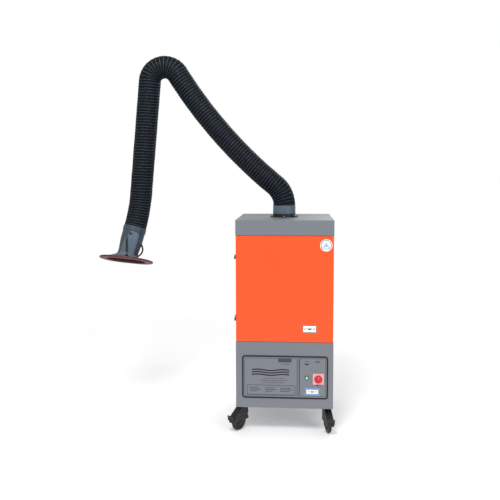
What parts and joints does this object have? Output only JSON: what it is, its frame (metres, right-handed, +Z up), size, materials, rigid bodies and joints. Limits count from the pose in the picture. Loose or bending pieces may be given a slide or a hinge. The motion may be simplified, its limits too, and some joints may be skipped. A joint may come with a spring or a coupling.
{
  "type": "mobile fume extractor with hose arm",
  "caption": "Upright sheet-steel filter cabinet on castors, with a fan room below a doored filter chamber and a self-supporting hose arm that ends in a flared hood.",
  "frame": {"origin": "on the floor under the middle of the cabinet", "axes": "+X to the cabinet's right seen from the front, +Y from the door to the back panel, +Z up"},
  "size_m": [1.6597, 0.7337, 2.5916],
  "materials": {
    "grey_paint": "satin powder coat",
    "orange_paint": "satin powder coat",
    "black_plastic": "fine moulded grain",
    "slate_plastic": "moulded, slightly glossy",
    "hose_fabric": "coated fabric over a wire helix",
    "bright_steel": "zinc plated",
    "rim_red": "matt",
    "filter_paper": "pleated",
    "foam": "open cell",
    "lamp_green": "clear gloss",
    "switch_plate": "satin",
    "switch_red": "gloss",
    "rubber": "matt",
    "tyre": "matt"
  },
  "bodies": {
    "root": {"base_frame": "grey_paint", "left_panel": "grey_paint", "right_panel": "grey_paint", "back_panel": "grey_paint", "roof_panel": "grey_paint", "lower_front_panel": "grey_paint", "partition_plate": "grey_paint", "filter_rails": "bright_steel", "filter_cartridge": "filter_paper", "pre_filter": "bright_steel", "fan_housing": "bright_steel", "fan_motor": "black_plastic", "silencer_foam": "foam", "outlet_grille": "black_plastic", "control_box": "bright_steel", "control_frame": "rubber", "control_plate": "grey_paint", "indicator_lamp": "lamp_green", "switch_plate": "switch_plate", "cable_gland": "black_plastic", "panel_screws": "bright_steel", "hinge_pins": "bright_steel", "latch_bases": "black_plastic", "front_castor_heads": "bright_steel", "rear_castor_forks": "black_plastic", "arm_base": "black_plastic", "arm_base_bolts": "bright_steel"},
    "fan": {"fan_impeller": "bright_steel"},
    "knob": {"switch_knob": "switch_red"},
    "door": {"door": "orange_paint", "door_seal": "rubber", "latch_catches": "black_plastic"},
    "upper_lever": {"upper_latch_lever": "black_plastic"},
    "lower_lever": {"lower_latch_lever": "black_plastic"},
    "upper_bail": {"upper_latch_bail": "bright_steel"},
    "lower_bail": {"lower_latch_bail": "bright_steel"},
    "left_castor": {"left_castor_housing": "black_plastic"},
    "right_castor": {"right_castor_housing": "black_plastic"},
    "front_left_wheel": {"left_castor_wheel": "tyre"},
    "front_right_wheel": {"right_castor_wheel": "tyre"},
    "left_brake": {"left_castor_brake": "black_plastic"},
    "right_brake": {"right_castor_brake": "black_plastic"},
    "back_left_wheel": {"rear_left_wheel": "tyre"},
    "back_right_wheel": {"rear_right_wheel": "tyre"},
    "turret": {"rotary_collar": "slate_plastic", "shoulder_yoke": "bright_steel", "hose_shoulder": "hose_fabric"},
    "lower_arm": {"lower_arm_link": "bright_steel", "hose_lower": "hose_fabric", "hose_elbow": "hose_fabric"},
    "forearm": {"forearm_link": "bright_steel", "hose_upper": "hose_fabric"},
    "wrist": {"wrist_link": "bright_steel", "hose_wrist": "hose_fabric"},
    "hood": {"hood_neck": "slate_plastic", "hood_shell": "slate_plastic", "hood_rim": "rim_red", "hood_grid": "bright_steel", "hood_handle": "black_plastic"},
    "damper": {"damper_flap": "black_plastic"}
  },
  "joints": [
    {"name": "door_swing", "type": "hinge", "parent": "root", "child": "door", "pos_m": [0.315, -0.315, 0.632], "axis": [0, 0, 1], "range_deg": [0, 110]},
    {"name": "upper_lever_turn", "type": "hinge", "parent": "root", "child": "upper_lever", "pos_m": [-0.3375, -0.2435, 1.198], "axis": [0, 0, 1], "range_deg": [0, 150]},
    {"name": "upper_bail_turn", "type": "hinge", "parent": "upper_lever", "child": "upper_bail", "pos_m": [-0.3355, -0.2305, 1.198], "axis": [0, 0, 1], "range_deg": [-192, 2]},
    {"name": "lower_lever_turn", "type": "hinge", "parent": "root", "child": "lower_lever", "pos_m": [-0.3375, -0.2435, 0.779], "axis": [0, 0, 1], "range_deg": [0, 150]},
    {"name": "lower_bail_turn", "type": "hinge", "parent": "lower_lever", "child": "lower_bail", "pos_m": [-0.3355, -0.2305, 0.779], "axis": [0, 0, 1], "range_deg": [-192, 2]},
    {"name": "fan_spin", "type": "hinge", "parent": "root", "child": "fan", "pos_m": [0, 0.05, 0.634], "axis": [0, 0, 1], "continuous": true},
    {"name": "switch_turn", "type": "hinge", "parent": "root", "child": "knob", "pos_m": [0.228, -0.3275, 0.382], "axis": [0, 1, 0], "range_deg": [0, 90]},
    {"name": "left_castor_swivel", "type": "hinge", "parent": "root", "child": "left_castor", "pos_m": [-0.288, -0.255, 0.175], "axis": [0, 0, 1], "continuous": true},
    {"name": "right_castor_swivel", "type": "hinge", "parent": "root", "child": "right_castor", "pos_m": [0.288, -0.255, 0.175], "axis": [0, 0, 1], "continuous": true},
    {"name": "front_left_wheel_spin", "type": "hinge", "parent": "left_castor", "child": "front_left_wheel", "pos_m": [-0.31263, -0.28652, 0.0625], "axis": [0.788, -0.6157, 0], "continuous": true},
    {"name": "front_right_wheel_spin", "type": "hinge", "parent": "right_castor", "child": "front_right_wheel", "pos_m": [0.29632, -0.29413, 0.0625], "axis": [0.9781, 0.2079, 0], "continuous": true},
    {"name": "left_brake_press", "type": "hinge", "parent": "left_castor", "child": "left_brake", "pos_m": [-0.35608, -0.34214, 0.10325], "axis": [0.788, -0.6157, 0], "range_deg": [0, 14]},
    {"name": "right_brake_press", "type": "hinge", "parent": "right_castor", "child": "right_brake", "pos_m": [0.31099, -0.36317, 0.10325], "axis": [0.9781, 0.2079, 0], "range_deg": [0, 14]},
    {"name": "back_left_wheel_spin", "type": "hinge", "parent": "root", "child": "back_left_wheel", "pos_m": [-0.288, 0.245, 0.0625], "axis": [1, 0, 0], "continuous": true},
    {"name": "back_right_wheel_spin", "type": "hinge", "parent": "root", "child": "back_right_wheel", "pos_m": [0.288, 0.245, 0.0625], "axis": [1, 0, 0], "continuous": true},
    {"name": "arm_swivel", "type": "hinge", "parent": "root", "child": "turret", "pos_m": [-0.008, 0, 1.475], "axis": [0, 0, 1], "continuous": true},
    {"name": "shoulder_tilt", "type": "hinge", "parent": "turret", "child": "lower_arm", "pos_m": [-0.02589, 0, 1.61305], "axis": [0, -1, 0], "range_deg": [-30, 30], "deforming": ["hose_shoulder"]},
    {"name": "elbow_bend", "type": "hinge", "parent": "lower_arm", "child": "forearm", "pos_m": [-0.88235, 0, 2.50985], "axis": [0, -1, 0], "range_deg": [-90, 5], "deforming": ["hose_elbow"]},
    {"name": "wrist_swivel", "type": "hinge", "parent": "forearm", "child": "wrist", "pos_m": [-1.05425, 0, 1.49437], "axis": [0.0958, 0, 0.9954], "continuous": true},
    {"name": "hood_tilt", "type": "hinge", "parent": "wrist", "child": "hood", "pos_m": [-1.05425, 0, 1.49437], "axis": [-0.9246, 0.3703, 0.089], "range_deg": [-55, 45], "deforming": ["hose_wrist"]},
    {"name": "damper_turn", "type": "hinge", "parent": "hood", "child": "damper", "pos_m": [-1.09381, -0.05588, 1.31593], "axis": [-0.0633, 0.9563, -0.2854], "range_deg": [0, 90]}
  ],
  "couplings": [
    {"joint": "upper_bail_turn", "follows": "upper_lever_turn", "ratio": -1.27},
    {"joint": "lower_bail_turn", "follows": "lower_lever_turn", "ratio": -1.27}
  ]
}
